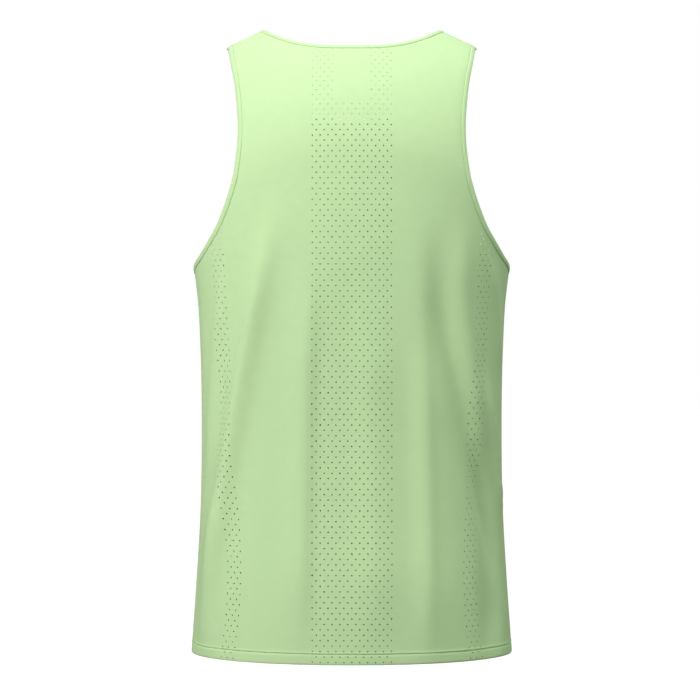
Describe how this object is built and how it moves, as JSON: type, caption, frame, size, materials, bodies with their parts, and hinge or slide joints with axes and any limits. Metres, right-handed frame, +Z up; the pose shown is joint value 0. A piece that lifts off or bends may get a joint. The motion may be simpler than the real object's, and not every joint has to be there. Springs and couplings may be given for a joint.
{
  "type": "running singlet",
  "caption": "Sleeveless round-neck running singlet in light knitted cloth, filled out as worn, open at neck, armholes and hem, with bound edges and a turned-up hem.",
  "frame": {"origin": "midway between the two shoulders, at the middle of the shoulder seams' fall, where the wearer's shoulders hold the garment", "axes": "+Z up, the wearer faces -Y so the back panel is on the +Y side, and the wearer's left is +X"},
  "size_m": [0.3554, 0.2358, 0.6886],
  "materials": {
    "jersey": "matte pale lime polyester knit",
    "binding": "matte pale lime folded knit binding"
  },
  "bodies": {
    "root": {"back": "jersey", "front": "jersey", "neck_binding": "binding", "armhole_binding_left": "binding", "armhole_binding_right": "binding"}
  },
  "joints": []
}
